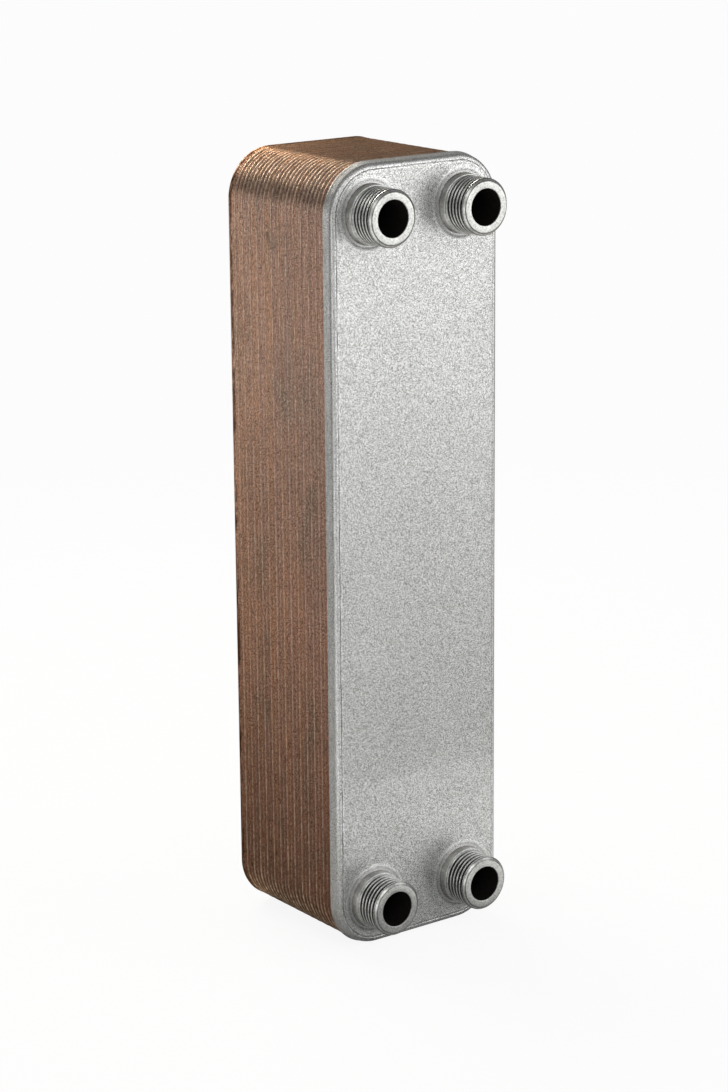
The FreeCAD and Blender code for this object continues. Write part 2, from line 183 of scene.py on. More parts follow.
def flat_sheet(around, edge_radius, y, holes, wave, wave_size, seed):
    """Points and forward facing triangles of a slightly wavy sheet, with a hole for each boss."""

    def from_edge(x, z):
        """Distance inward from the sheet's edge."""
        past_x = max(abs(x) - corner_across, 0)
        past_z = max(abs(z - middle_z) - corner_up, 0)
        return edge_radius - math.hypot(past_x, past_z)

    def from_hole(x, z):
        """Distance outward from the nearest hole's rim."""
        return min((math.hypot(x - hole_x, z - hole_z) - BOSS_FOOT for hole_x, hole_z in holes),
                   default=math.inf)

    points = [Vector((cx + edge_radius * nx, cz + edge_radius * nz)) for cx, cz, nx, nz in around]
    edges = [(i, (i + 1) % len(points)) for i in range(len(points))]
    for hole_x, hole_z in holes:
        first = len(points)
        for column in range(BOSS_COLUMNS):
            angle = 2 * math.pi * column / BOSS_COLUMNS
            rim = Vector((hole_x + BOSS_FOOT * math.cos(angle), hole_z + BOSS_FOOT * math.sin(angle)))
            points.append(rim)
            edges.append((first + column, first + (column + 1) % BOSS_COLUMNS))

    reach_x = math.ceil(cad_high.x / SHEET_GRID)
    reach_z = math.ceil((cad_high.z - middle_z) / SHEET_GRID)
    for i in range(-reach_x, reach_x + 1):
        for k in range(-reach_z, reach_z + 1):
            x = i * SHEET_GRID
            z = middle_z + k * SHEET_GRID
            if from_edge(x, z) > SHEET_CLEARANCE and from_hole(x, z) > SHEET_CLEARANCE:
                points.append(Vector((x, z)))

    flat, _, triangles, *_ = geometry.delaunay_2d_cdt(points, edges, [], INSIDE_OUTLINE, SHEET_WELD)
    kept = []
    for triangle in triangles:
        middle = sum((flat[i] for i in triangle), Vector((0, 0))) / len(triangle)
        if from_hole(middle.x, middle.y) > -HOLE_SLACK:
            kept.append(tuple(triangle))
    raised = []
    for x, z in flat:
        from_boss = min(1, max(0, from_hole(x, z)) / SHEET_EASE)
        from_rim = min(1, max(0, from_edge(x, z)) / SHEET_EASE)
        raised.append((x, y + from_boss * from_rim * wave * ripple(x, z, wave_size, seed), z))
    return raised, kept


def make_piece(name, parts, materials, replaced, sharp=40, place=(0, 0, 0), merge=2e-6):
    """One mesh object from (points, faces, material index, marks) parts, welded where they meet."""
    work = bmesh.new()
    shade_and_wear = work.verts.layers.float.new("shade_and_wear")
    for points, faces, index, marks in parts:
        made = [work.verts.new(p) for p in points]
        if marks:
            for vertex, mark in zip(made, marks):
                vertex[shade_and_wear] = mark
        for face in faces:
            new_face = work.faces.new([made[i] for i in face])
            new_face.material_index = index
            new_face.smooth = True
    bmesh.ops.remove_doubles(work, verts=work.verts, dist=merge)
    bmesh.ops.dissolve_degenerate(work, edges=work.edges, dist=merge / 4)
    mesh = bpy.data.meshes.new(name)
    work.to_mesh(mesh)
    work.free()
    for material in materials:
        mesh.materials.append(material)
    mesh.set_sharp_from_angle(angle=math.radians(sharp))
    piece = bpy.data.objects.new(name, mesh)
    bpy.context.scene.collection.objects.link(piece)
    piece.location = place
    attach(piece, "root")
    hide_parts(*replaced)


# ---------------------------------------------------------------- shader nodes

def node(tree, kind, values=None, **settings):
    """A shader node; a value that is another node's socket is linked, anything else is set."""
    made = tree.nodes.new(kind)
    for key, value in settings.items():
        setattr(made, key, value)
    for key, value in (values or {}).items():
        if isinstance(value, bpy.types.NodeSocket):
            tree.links.new(value, made.inputs[key])
        else:
            made.inputs[key].default_value = value
    return made


def start_material(name, **constants):
    """An empty principled material, its tree and its shader."""
    material = bpy.data.materials.new(name)
    material.use_nodes = True
    tree = material.node_tree
    shader = tree.nodes["Principled BSDF"]
    for key, value in constants.items():
        shader.inputs[key.replace("_", " ")].default_value = value
    return material, tree, shader


def places(tree):
    """Object coordinates in metres."""
    return node(tree, "ShaderNodeTexCoord").outputs["Object"]


def grain(tree, scale, detail=2.0, roughness=0.5):
    """Noise from 0 to 1 over the object, scale being cycles per metre on each axis."""
    scaled = node(tree, "ShaderNodeVectorMath", {0: places(tree), 1: scale}, operation="MULTIPLY")
    values = {"Vector": scaled.outputs[0], "Scale": 1.0, "Detail": detail, "Roughness": roughness}
    return node(tree, "ShaderNodeTexNoise", values).outputs["Fac"]


def marks_of(tree):
    """The marks that the mesh carries at each vertex: painted shade, painted highlights and wear."""
    return node(tree, "ShaderNodeAttribute", attribute_name="shade_and_wear").outputs["Fac"]


def grey(level):
    """A neutral colour."""
    return (level, level, level)


def ramp(tree, factor, stops):
    """Colour ramp of (position, colour) stops."""
    made = node(tree, "ShaderNodeValToRGB", {"Fac": factor})
    elements = made.color_ramp.elements
    while len(elements) < len(stops):
        elements.new(0.5)
    for element, (position, colour) in zip(elements, stops):
        element.position = position
        element.color = (*colour, 1.0)
    return made.outputs["Color"]


def span(tree, factor, low, high, to_low, to_high):
    """A factor mapped from one range to another, clamped."""
    values = {"Value": factor, "From Min": low, "From Max": high, "To Min": to_low, "To Max": to_high}
    return node(tree, "ShaderNodeMapRange", values).outputs["Result"]


def mixed(tree, factor, first, second, blend="MIX"):
    """Two colours mixed."""
    made = tree.nodes.new("ShaderNodeMix")
    made.data_type = "RGBA"
    made.blend_type = blend
    for socket, value in ((made.inputs[0], factor), (made.inputs[6], first), (made.inputs[7], second)):
        if isinstance(value, bpy.types.NodeSocket):
            tree.links.new(value, socket)
        elif isinstance(value, tuple):
            socket.default_value = (*value, 1.0)
        else:
            socket.default_value = value
    return made.outputs[2]


def toned(tree, colour, factor, stops):
    """A colour multiplied by a ramp of (position, colour) stops."""
    return mixed(tree, 1.0, colour, ramp(tree, factor, stops), "MULTIPLY")


def bump(tree, height, distance, strength, normal=None):
    """A bump of that height in metres, over another bump if one is given."""
    made = node(tree, "ShaderNodeBump", {"Height": height, "Distance": distance, "Strength": strength})
    if normal is not None:
        tree.links.new(normal, made.inputs["Normal"])
    return made.outputs["Normal"]


# ---------------------------------------------------------------- materials

def satin_steel(name, light, dark, grain_depth, **constants):
    """Sheet after the brazing furnace: fine satin grain, faint clouds, specks, and painted highlights and
    painted shade from the marks.
    """
    material, tree, shader = start_material(name, **{"Metallic": 1.0, **constants})
    fine = grain(tree, (4200, 4200, 4200), 0.0, 0.5)
    coarse = grain(tree, (2600, 2600, 2600), 1.0, 0.6)
    clouds = grain(tree, (28, 28, 16), 3.0, 0.5)
    specks = grain(tree, (420, 420, 420), 1.0)
    glint = grey(min(1.0, 1.28 * light[1]))
    base = ramp(tree, fine, [(0.44, dark), (0.50, light), (0.56, glint)])
    base = toned(tree, base, clouds, [(0.3, grey(0.93)), (0.7, grey(1.0))])
    base = toned(tree, base, specks, [(0.20, grey(0.70)), (0.25, grey(1.0))])
    # Marks below 0 paint highlights and marks above 0 paint shade, along the crease, the bend and round the
    # bosses.
    marks = span(tree, marks_of(tree), -1.0, 1.0, 0.0, 1.0)
    base = toned(tree, base, marks, [(0.0, grey(1.0)), (0.5, grey(0.76)), (1.0, grey(0.26))])
    tree.links.new(base, shader.inputs["Base Color"])
    tree.links.new(span(tree, fine, 0.3, 0.7, 0.50, 0.36), shader.inputs["Roughness"])
    under = bump(tree, coarse, grain_depth, 0.35)
    tree.links.new(bump(tree, fine, grain_depth * 0.5, 0.8, under), shader.inputs["Normal"])
    return material


def copper_film(name, warm, cool, wear_and_painted_light):
    """Braze copper drawn over steel plates: streaks, tarnish clouds, pits, painted glints, painted shade by
    height and behind the lips, and bright lips, partly wear and partly painted highlight.
    """
    material, tree, shader = start_material(name, Metallic=1.0)
    shader.inputs["Specular Tint"].default_value = (0.80, 0.62, 0.48, 1.0)
    streaks = grain(tree, (60, 2600, 60), 3.0, 0.6)
    clouds = grain(tree, (34, 46, 20), 4.0, 0.6)
    tarnish = grain(tree, (55, 70, 32), 3.0, 0.6)
    pits = grain(tree, (3400, 3400, 3000), 0.0, 0.5)
    painted_glints = grain(tree, (2600, 2600, 1800), 0.0)
    spots = grain(tree, (330, 420, 260), 1.0, 0.5)
    glints = grain(tree, (900, 300, 700), 3.0, 0.7)
    base = mixed(tree, span(tree, clouds, 0.36, 0.64, 0.0, 1.0), warm, cool)
    base = mixed(tree, span(tree, tarnish, 0.55, 0.72, 0.0, 0.45), base, (0.20, 0.19, 0.15))
    base = toned(tree, base, streaks, [(0.28, grey(0.90)), (0.5, grey(0.98)), (0.72, grey(1.07))])
    base = toned(tree, base, pits, [(0.38, grey(0.35)), (0.5, grey(0.95)), (0.62, grey(1.6))])
    # Sparse bright specks in the lips' colour: painted glints.
    base = mixed(tree, span(tree, painted_glints, 0.68, 0.76, 0.0, 0.8), base, wear_and_painted_light)
    base = toned(tree, base, spots, [(0.20, grey(0.35)), (0.25, grey(1.0))])

    # Painted shade by height: darker towards the bottom and in a band just under the top.
    height = node(tree, "ShaderNodeSeparateXYZ", {0: places(tree)}).outputs[2]
    share = span(tree, height, cad_low.z, cad_high.z, 0.0, 1.0)
    base = toned(tree, base, share, [
        (0.0, (0.33, 0.28, 0.25)),
        (0.20, (0.52, 0.45, 0.41)),
        (0.42, (0.81, 0.735, 0.70)),
        (0.70, grey(0.88)),
        (0.955, grey(0.67)),
        (0.995, grey(0.80)),
    ])

    # Marks below 0 paint shade behind the lips; marks above 0 brighten the lips, partly wear and partly
    # painted highlight, in patches.
    marks = marks_of(tree)
    unshaded = span(tree, marks, -1.0, 0.0, 0.0, 1.0)
    base = toned(tree, base, unshaded, [(0.0, (0.26, 0.21, 0.18)), (1.0, grey(1.0))])
    lip_sheen = span(tree, marks, 0.0, 1.0, 0.0, 1.0)
    patchy = span(tree, glints, 0.40, 0.60, 0.25, 1.0)
    bright = node(tree, "ShaderNodeMath", {0: lip_sheen, 1: patchy}, operation="MULTIPLY").outputs[0]
    base = mixed(tree, bright, base, wear_and_painted_light)
    tree.links.new(base, shader.inputs["Base Color"])
    tree.links.new(span(tree, streaks, 0.3, 0.7, 0.40, 0.26), shader.inputs["Roughness"])
    under = bump(tree, pits, 0.00005, 0.7)
    tree.links.new(bump(tree, streaks, 0.00004, 0.6, under), shader.inputs["Normal"])
    return material


def turned_steel(name, light, dark):
    """Steel turned on a lathe: fine rings round the connector's own axis, mottling, and painted shade in
    the grooves and at the mouth.
    """
    material, tree, shader = start_material(name, Metallic=1.0)
    split = node(tree, "ShaderNodeSeparateXYZ", {0: places(tree)})
    flat = node(tree, "ShaderNodeCombineXYZ", {0: split.outputs[0], 1: 0.0, 2: split.outputs[2]}).outputs[0]
    radius = node(tree, "ShaderNodeVectorMath", {0: flat}, operation="LENGTH").outputs["Value"]
    place = node(tree, "ShaderNodeCombineXYZ", {0: radius, 1: split.outputs[1], 2: 0.0}).outputs[0]
    rings = node(tree, "ShaderNodeVectorMath", {0: place, 1: (4200, 4200, 0)}, operation="MULTIPLY")
    values = {"Vector": rings.outputs[0], "Scale": 1.0, "Detail": 2.0}
    turned = node(tree, "ShaderNodeTexNoise", values).outputs["Fac"]
    mottled = grain(tree, (1300, 1300, 1300), 3.0, 0.7)
    clouds = grain(tree, (150, 150, 150), 2.0, 0.5)
    base = ramp(tree, mottled, [(0.3, dark), (0.55, light)])
    base = toned(tree, base, clouds, [(0.3, grey(0.86)), (0.7, grey(1.04))])
    # The marks paint shade: deeper in the thread's grooves, dark lines at the mouth's chamfers, and a dark
    # bore.
    base = toned(tree, base, marks_of(tree), [
        (0.0, grey(1.0)),
        (0.08, grey(0.68)),
        (0.25, grey(0.17)),
        (1.0, (0.06, 0.055, 0.045)),
    ])
    tree.links.new(base, shader.inputs["Base Color"])
    tree.links.new(span(tree, turned, 0.3, 0.7, 0.27, 0.38), shader.inputs["Roughness"])
    under = bump(tree, turned, 0.00002, 0.5)
    tree.links.new(bump(tree, mottled, 0.00002, 0.25, under), shader.inputs["Normal"])
    return material


# Light tone, dark tone and the depth of the grain in metres; the film has two tones and one for its bright
# lips and glints, partly wear and partly painted highlight.
steel = satin_steel("satin_steel", (0.78, 0.785, 0.75), (0.34, 0.345, 0.33), 0.00004)
back_steel = satin_steel("back_steel", (0.68, 0.68, 0.65), (0.34, 0.34, 0.32), 0.00004)
inner_steel = satin_steel("inner_steel", (0.50, 0.46, 0.42), (0.26, 0.23, 0.21), 0.00004)
braze = satin_steel("braze_fillet", (0.50, 0.46, 0.42), (0.28, 0.25, 0.23), 0.00003)
# A nearly black, dull finish for the bore: painted shade inside it.
shaded_bore = satin_steel("shaded_bore", (0.045, 0.034, 0.027), (0.025, 0.018, 0.014), 0.00002,
                         Metallic=0.5, Specular_IOR_Level=0.0)
thread_steel = turned_steel("thread_steel", (0.90, 0.90, 0.87), (0.44, 0.44, 0.42))
copper_warm = copper_film("copper_film_warm", (0.52, 0.30, 0.205), (0.42, 0.26, 0.19), (1.0, 0.80, 0.60))
copper_cool = copper_film("copper_film_cool", (0.48, 0.285, 0.21), (0.39, 0.255, 0.20), (1.0, 0.80, 0.62))
copper_inner = copper_film("copper_inner", (0.34, 0.17, 0.11), (0.22, 0.12, 0.09), (0.5, 0.3, 0.2))


# ---------------------------------------------------------------- covers

# Rows of the crease round the front's flat: outward, backward, mark (below 0 bright, above 0 dark): a
# painted highlight line and a painted shade line along the fold.
CREASE = (
    (-0.0016, 0.0, 0.0),
    (-0.00115, -0.00001, -0.5),
    (-0.00085, -0.00003, -1.0),
    (-0.00060, 0.00000, -0.6),
    (-0.00048, 0.00006, 1.0),
    (-0.00030, 0.00009, 1.0),
    (-0.00012, 0.00005, 1.0),
)
# The bend's start is marked bright, a painted highlight, and the skirt a little darker; RIGHT_FADE weakens
# these marks on the right side.
BEND_START_MARKS = [-0.8, -0.8, -0.4]
SKIRT_MARK = 0.2
RIGHT_FADE = 0.6

# Rows of a boss, from its hole to its foot: radius, backward from its top, mark (a painted shade ring at
# the boss's edge and a painted highlight ring outside it).
BOSS_ROWS = (
    (BOSS_HOLE, 0.0, 0.0),
    (COLLAR_RADIUS, 0.0, 0.0),
    (BOSS_RADIUS - 0.0009, 0.0, 0.0),
    (BOSS_RADIUS - 0.0005, 0.00003, 0.3),
    (BOSS_RADIUS - 0.0001, 0.00010, 0.65),
    (BOSS_RADIUS + 0.0003, 0.00020, 0.35),
    (BOSS_RADIUS + 0.0007, 0.00028, -0.3),
    (BOSS_RADIUS + 0.0012, 0.00033, -0.5),
    (BOSS_FOOT, BOSS_HEIGHT, 0.0),
)


def rounded_lip(lip_radius, lip_y, wall, shoulder, crown):
    """Profile over a sheet's cut edge, from its outside to its inside."""
    return [
        (lip_radius, lip_y - LIP_ROUNDING),
        (lip_radius - LIP_ROUNDING * shoulder, lip_y - LIP_ROUNDING * 0.35),
        (lip_radius - LIP_ROUNDING * crown, lip_y - LIP_ROUNDING * 0.06),
        (lip_radius - LIP_ROUNDING, lip_y),
        (lip_radius - wall + LIP_ROUNDING / 2, lip_y),
        (lip_radius - wall, lip_y - LIP_ROUNDING / 2),
    ]


def front_cover():
    """The stamped front cover: flat face with port bosses, rolled bend and flared skirt."""
    around = stations(COVER_SPACING, COVER_CORNER_STEPS)
    wall = COVER_WALL / math.cos(FLARE)
    tangent = COVER_BEND * math.tan((math.pi / 2 - FLARE) / 2)
    flat_edge = skirt_radius(LIP_CORNER_RADIUS, front_lip_y, face_y) - tangent
    crease = [(flat_edge + out, face_y + back) for out, back, _ in CREASE]
    bend = arc(flat_edge, face_y + COVER_BEND, COVER_BEND, -math.pi / 2, -FLARE, 12)
    bend_end_y = bend[-1][1]
    skirt = [(skirt_radius(LIP_CORNER_RADIUS, front_lip_y, front_lip_y - ahead), front_lip_y - ahead)
             for ahead in (0.0024, 0.0016, 0.0009) if front_lip_y - ahead > bend_end_y]
    inside_y = face_y + 2 * COVER_WALL
    lip = rounded_lip(LIP_CORNER_RADIUS, front_lip_y, wall, 0.12, 0.45)
    lip.append((skirt_radius(LIP_CORNER_RADIUS, front_lip_y, inside_y) - wall, inside_y))
    profile = crease + bend + skirt + lip
    points, faces = sweep(profile, around)
    row_marks = [mark for _, _, mark in CREASE] + BEND_START_MARKS
    row_marks += [SKIRT_MARK] * (len(profile) - len(row_marks))
    # These marks paint the crease's highlight and shade lines, weaker on the right side.
    marks = [mark * (1 - RIGHT_FADE * max(0, nx)) for mark in row_marks for _, _, nx, _ in around]
    steel_faces = (len(profile) - len(lip)) * len(around)
    parts = [(points, faces[:steel_faces], 0, marks), (points, faces[steel_faces:], 1, None)]

    boxes = [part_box(f"port_connector_{port}") for port in PORTS]
    centres = [((low.x + high.x) / 2, (low.z + high.z) / 2) for low, high in boxes]
    boss_marks = repeated([mark for _, _, mark in BOSS_ROWS], BOSS_COLUMNS)
    boss_profile = [(radius, boss_top_y + back) for radius, back, _ in BOSS_ROWS]
    points, faces = revolve(boss_profile, BOSS_COLUMNS)
    for x, z in centres:
        parts.append(([(px + x, py, pz + z) for px, py, pz in points], faces, 0, boss_marks))

    sheet = flat_sheet(around, crease[0][0], face_y, centres, wave=0.00005, wave_size=0.05, seed=0.0)
    parts.append((*sheet, 0, None))
    make_piece("front_cover", parts, [steel, copper_warm], ["front_cover_plate"])


def back_cover():
    """The back cover: a shallow tray seen from behind, its skirt filmed with copper."""
    around = stations(COVER_SPACING, COVER_CORNER_STEPS)
    wall = COVER_WALL / math.cos(FLARE)
    lip_y = back_high.y
    lip_radius = back_high.x - corner_across
    floor_y = back_low.y + COVER_WALL
    skirt_rows = (back_low.y + 0.0004, lip_y - 0.0030, lip_y - 0.0020, lip_y - 0.0012, lip_y - 0.0009)
    skirt = [(skirt_radius(lip_radius, lip_y, y), y) for y in skirt_rows]
    lip = rounded_lip(lip_radius, lip_y, wall, 0.15, 0.5)
    inside_y = lip_y - 0.0014
    inside = [(skirt_radius(lip_radius, lip_y, inside_y) - wall, inside_y)]
    tangent = TRAY_BEND * math.tan((math.pi / 2 - FLARE) / 2)
    flat_edge = skirt_radius(lip_radius, lip_y, floor_y) - wall - tangent
    bend = arc(flat_edge, floor_y + TRAY_BEND, TRAY_BEND, -FLARE, -math.pi / 2, 8)
    profile = skirt + lip + inside + bend
    points, faces = sweep(profile, around)
    # The copper lip rows are marked -1: a painted shade line along the lip's edge.
    neutral_rows = 3
    row_marks = [0.0] * neutral_rows + [-1.0] * (len(profile) - neutral_rows)
    copper_faces = (len(skirt) + len(lip) - 2) * len(around)
    marks = repeated(row_marks, len(around))
    parts = [(points, faces[:copper_faces], 1, marks), (points, faces[copper_faces:], 0, None)]
    sheet, triangles = flat_sheet(around, bend[-1][0], floor_y, [], wave=0.00006, wave_size=0.045, seed=3.0)
    backward = [tuple(reversed(triangle)) for triangle in triangles]
    parts.append((sheet, backward, 0, None))
    make_piece("back_cover", parts, [back_steel, copper_warm], ["back_cover_plate"])


# ---------------------------------------------------------------- copper skirts

# Rows over a skirt's lip, all from the lip's own edge: backward, inward, swell of the film, mark (bright
# lips, partly wear and partly painted highlight).
LIP_ROWS = (
    (-0.00090, 0.0, 0.0, 0.0),
    (-0.00060, 0.0, 0.40, 0.2),
    (-0.00035, 0.0, 0.9, 0.9),
    (-0.00018, 0.0, 1.0, 1.0),
    (-0.00005, 0.00004, 1.0, 1.0),
    (0.00001, 0.00012, 0.8, 0.8),
    (0.00002, 0.00025, 0.5, 0.2),
)
# Rows of the braze fillet, which lies on the next plate's skirt: backward, height.
FILLET_ROWS = ((0.00006, 0.45), (0.00020, 0.2), (0.00036, 0.06), (0.00052, -0.2))
FILLET_HEIGHT = 0.00042
SKIRT_OVERLAP = 0.0004

# How far a skirt's lip wanders along Y, and how its film swells: amounts in metres.
WANDER = ((0.00004, 0.030), (0.000015, 0.004))
SWELL = 0.00006
CORNER_SWELL = 0.00005
EXTRA_SWELL = (-0.00002, 0.00003)
# How bright the lips are on even and odd plates: painted highlights that alternate plate by plate, and
# wear.
LIP_SHEEN_AND_WEAR = (0.12, 0.42)
FIRST_UNEVEN_ROW = 2
CORNER_SHEEN_ROW = 4


def skirt_shade_and_sheen(wear_and_painted_light, corner, sheen_corners, patch):
    """A point's mark: painted shade behind each lip, deepest at the corners, and bright lips in patches,
    partly wear and partly painted highlight, brightest at the corners.
    """
    if wear_and_painted_light <= 0:
        return wear_and_painted_light * (0.30 + 0.70 * corner)
    extra = 0.7 * corner if sheen_corners else 0.0
    return min(1.0, wear_and_painted_light + extra) * min(1, max(0.05, patch))


def copper_skirt(index, name, previous_lip_y, pitch, around):
    """The copper-filmed skirt of one plate, with its rounded lip and the braze fillet behind it."""
    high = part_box(name)[1]
    lip_y = high.y
    lip_radius = high.x - corner_across
    seed = index * 1.7
    rows = [
        # The rows just behind the lip in front are marked dark: painted shade in the groove between two
        # lips.
        (previous_lip_y - SKIRT_OVERLAP - lip_y, 0.0, 0.0, -1.0),
        (-pitch * 0.84, 0.0, 0.0, -0.9),
        (-pitch * 0.66, 0.0, 0.0, -0.2),
        *LIP_ROWS,
        *((behind, None, height, 0.0) for behind, height in FILLET_ROWS),
    ]
    points, marks = [], []
    for row, (behind, inward, bead, wear_and_painted_light) in enumerate(rows):
        for cx, cz, nx, nz in around:
            x = cx + lip_radius * nx
            z = cz + lip_radius * nz
            corner = 2 * abs(nx * nz)
            shift = sum(amount * ripple(x, z, size, seed) for amount, size in WANDER)
            y = lip_y + behind + (shift if row >= FIRST_UNEVEN_ROW else 0)
            if inward is None:
                under = skirt_radius(lip_radius, lip_y + pitch, y)
                height = bead * FILLET_HEIGHT * (1 + 0.35 * ripple(x, z, 0.003, seed))
                r = under + FILM + height
            else:
                swell = SWELL * (1 + 0.6 * ripple(x, z, 0.0025, seed + 0.5)) + EXTRA_SWELL[index % 2]
                swell += CORNER_SWELL * corner
                r = skirt_radius(lip_radius, lip_y, min(y, lip_y + shift)) + FILM - inward + bead * swell
            points.append((cx + r * nx, y, cz + r * nz))
            patch = LIP_SHEEN_AND_WEAR[index % 2] + 0.30 * ripple(x, z, 0.012, seed + 0.2) + 0.60 * corner
            marks.append(skirt_shade_and_sheen(wear_and_painted_light, corner, row == CORNER_SHEEN_ROW, patch))
    faces = ring_faces(len(rows), len(around))
    film = copper_cool if (index * 7) % len(plates) >= index else copper_warm
    replaced = ["skirt_braze_seams"] if index == 0 else []
    make_piece(f"copper_skirt_{index + 1:02d}", [(points, faces, 0, marks)], [film],
               replaced, sharp=60)
    return lip_y


def copper_skirts():
    """All the plates' skirts, each starting just inside the lip in front of it."""
    around = stations(SKIRT_SPACING, SKIRT_CORNER_STEPS)
    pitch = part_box(plates[1])[1].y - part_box(plates[0])[1].y
    lip_y = front_lip_y
    for index, name in enumerate(plates):
        lip_y = copper_skirt(index, name, lip_y, pitch, around)


# ---------------------------------------------------------------- connectors

# One turn of the thread: share of the pitch, share of the depth.
THREAD_FORM = ((0.0, 0.0), (0.08, 0.01), (0.13, 0.10), (0.24, 0.5), (0.35, 0.92), (0.40, 0.99),
               (0.50, 1.0), (0.60, 0.99), (0.65, 0.92), (0.76, 0.5), (0.87, 0.10), (0.92, 0.01))
COLLAR_MARK = 0.075
BORE_ROWS = 3


def thread(start, end):
    """Points, faces and groove depths of a helical thread between two places on the Y axis; the depths
    become painted shade in the grooves.
    """
    columns = CONNECTOR_COLUMNS
    per_turn = len(THREAD_FORM)
    rows = per_turn * math.ceil(THREAD_TURNS + THREAD_START_ANGLE + 1)
    points, marks, faces = [], [], []
    for row in range(rows + 1):
        form, depth = THREAD_FORM[row % per_turn]
        along = row // per_turn + form
        for column in range(columns):
            turned = column / columns
            y = start + THREAD_PITCH * (along - THREAD_START_ANGLE - turned)
            y = min(max(y, start), end)
            groove = depth * min(1, (y - start) / RUN_IN) * min(1, (end - y) / RUN_OUT)
            r = CREST_RADIUS - THREAD_DEPTH * groove
            marks.append(groove)
            points.append((r * math.cos(2 * math.pi * turned), y, r * math.sin(2 * math.pi * turned)))
    for row in range(rows):
        for column in range(columns - 1):
            a = row * columns + column
            faces.append((a, a + columns, a + columns + 1, a + 1))
        if row >= per_turn:
            a = row * columns + columns - 1
            b = (row - per_turn) * columns
            faces.append((a, a + columns, b + columns, b))
    return points, faces, marks


def connector(port):
    """A turned connector with a true helical thread, a collar and a chamfered mouth."""
    low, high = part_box(f"port_connector_{port}")
    centre = ((low.x + high.x) / 2, 0, (low.z + high.z) / 2)
    tip = low.y
    thread_start = tip + TIP_CHAMFER
    thread_end = thread_start + THREAD_TURNS * THREAD_PITCH
    collar_front = face_y - COLLAR_HEIGHT
    base = boss_top_y
    columns = CONNECTOR_COLUMNS

    # Radius, y and darkness, from the bore's inner end over the end face to the first thread: painted shade
    # in the bore and painted shade lines at the chamfers' edges.
    mouth = (
        (BORE_RADIUS, high.y, 0.25),
        (BORE_RADIUS, face_y, 0.25),
        (BORE_RADIUS, tip + 0.004, 0.25),
        (BORE_RADIUS, tip + 0.0005, 0.25),
        (BORE_RADIUS, tip + 0.00018, 0.22),
        (BORE_RADIUS + 0.00015, tip + 0.00002, 0.19),
        (BORE_RADIUS + 0.00026, tip, 0.09),
        (BORE_RADIUS + 0.0012, tip, 0.09),
        (TIP_RADIUS - 0.00024, tip, 0.09),
        (TIP_RADIUS - 0.00008, tip + 0.00002, 0.22),
        (TIP_RADIUS + 0.00010, tip + 0.00012, 0.25),
        (TIP_RADIUS + 0.00030, tip + 0.00030, 0.085),
        (CREST_RADIUS - 0.00042, thread_start - 0.00038, 0.085),
        (CREST_RADIUS - 0.00018, thread_start - 0.00018, 0.25),
        (CREST_RADIUS - 0.00004, thread_start - 0.00006, 0.18),
        (CREST_RADIUS, thread_start, 0.0),
    )
    mouth_marks = repeated([mark for _, _, mark in mouth], columns)
    mouth_points, mouth_faces = revolve([(r, y) for r, y, _ in mouth], columns)
    bore_faces = BORE_ROWS * columns
    collar = [
        (CREST_RADIUS, thread_end),
        (CREST_RADIUS, collar_front - 0.00012),
        (CREST_RADIUS + 0.00006, collar_front - 0.00002),
        (COLLAR_RADIUS - 0.00022, collar_front),
        (COLLAR_RADIUS - 0.00006, collar_front + 0.00006),
        (COLLAR_RADIUS, collar_front + 0.00022),
        (COLLAR_RADIUS, base - 0.0006),
        (COLLAR_RADIUS - 0.00002, base - 0.00022),
        (COLLAR_RADIUS - 0.0002, base - 0.00004),
    ]
    thread_points, thread_faces, grooves = thread(thread_start, thread_end)
    parts = [
        (mouth_points, mouth_faces[:bore_faces], 1, mouth_marks),
        (mouth_points, mouth_faces[bore_faces:], 0, mouth_marks),
        (thread_points, thread_faces, 0, grooves),
        (*revolve(collar, columns), 0, [COLLAR_MARK] * (len(collar) * columns)),
    ]
    make_piece(f"connector_{port}", parts, [thread_steel, shaded_bore],
               [f"port_connector_{port}"], sharp=50, place=centre)


# Rows of the fillet at a connector's foot: outward from the collar, backward from the boss's top.
FOOT_ROWS = ((-0.0002, -0.0004), (0.0, 0.0), (0.00006, -0.00016), (0.00016, -0.00006), (0.00034, 0.0),
             (0.00050, 0.00004))
FOOT_UNEVENNESS = 0.3
FOOT_LIFT = 0.00002


def braze_fillet(port):
    """The small uneven fillet where a connector stands on its boss."""
    low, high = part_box(f"port_braze_ring_{port}")
    centre = ((low.x + high.x) / 2, 0, (low.z + high.z) / 2)
    points = []
    for out, back in FOOT_ROWS:
        for column in range(BOSS_COLUMNS):
            angle = 2 * math.pi * column / BOSS_COLUMNS
            x = math.cos(angle)
            z = math.sin(angle)
            wave = noise.noise(Vector((x * 3 + centre[0] * 90, 0.3, z * 3 + centre[2] * 40)))
            uneven = 1 + FOOT_UNEVENNESS * wave
            r = COLLAR_RADIUS + out * uneven
            points.append((r * x, boss_top_y + back * uneven - FOOT_LIFT, r * z))
    faces = [tuple(reversed(face)) for face in ring_faces(len(FOOT_ROWS), BOSS_COLUMNS)]
    make_piece(f"braze_fillet_{port}", [(points, faces, 0, None)], [braze],
               [f"port_braze_ring_{port}"], sharp=60, place=centre)


# ---------------------------------------------------------------- build

front_cover()
copper_skirts()
back_cover()
for port in PORTS:
    connector(port)
    braze_fillet(port)

# The CAD nodes inside the stack are carried over with their own finishes.
STEEL_NODES = ("front_sealing_plate", "back_sealing_plate", "front_port_rings", "back_port_rings")
for name, cad_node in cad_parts.items():
    finish = inner_steel if name in STEEL_NODES else copper_inner
    if cad_node.material_slots:
        for held in cad_node.material_slots:
            held.material = finish
    else:
        cad_node.data.materials.append(finish)


# ---------------------------------------------------------------- floor, light and camera

